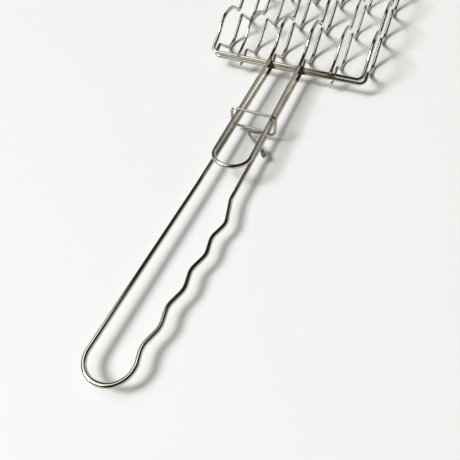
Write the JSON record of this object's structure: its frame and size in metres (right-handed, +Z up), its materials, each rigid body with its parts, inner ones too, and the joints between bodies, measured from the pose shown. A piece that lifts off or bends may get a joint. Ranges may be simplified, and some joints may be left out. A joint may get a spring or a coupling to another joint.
{
  "type": "hinged wire grilling basket",
  "caption": "Hinged wire grilling basket with wavy pockets across it, a long looped handle with a wavy finger grip, a short looped handle and a sliding latch ring.",
  "frame": {"origin": "bottom centre of the closed basket's bounding box, on the table it lies on", "axes": "+X to the right seen from the grip, +Y from the long handle's loop to the hinge, +Z up from the table"},
  "size_m": [0.1616, 0.6228, 0.0397],
  "materials": {
    "frame_wire": "bright chrome-plated round steel wire with drawing marks and brown weld burns at the crossings",
    "rib_wire": "bright chrome-plated thin round steel wire, sheared ends",
    "ring_wire": "bright chrome-plated thin wire, slightly worn where it slides",
    "hinge_strip": "chrome-plated steel strip, rolled round the rails"
  },
  "bodies": {
    "lower_frame": {"lower_perimeter_wire": "frame_wire", "lower_handle_wire": "frame_wire", "lower_left_rib": "rib_wire", "lower_right_rib": "rib_wire", "hinge_clip_left": "hinge_strip", "hinge_clip_right": "hinge_strip"},
    "upper_frame": {"upper_perimeter_wire": "frame_wire", "upper_handle_wire": "frame_wire", "upper_left_rib": "rib_wire", "upper_right_rib": "rib_wire"},
    "latch_ring": {"latch_ring": "ring_wire"}
  },
  "joints": [
    {"name": "leaf_hinge", "type": "hinge", "parent": "lower_frame", "child": "upper_frame", "pos_m": [0, 0.3084, 0.0174], "axis": [-1, 0, 0], "range_deg": [0, 165]},
    {"name": "ring_slide", "type": "slide", "parent": "lower_frame", "child": "latch_ring", "axis": [0, -1, 0], "range_m": [0, 0.075]}
  ]
}
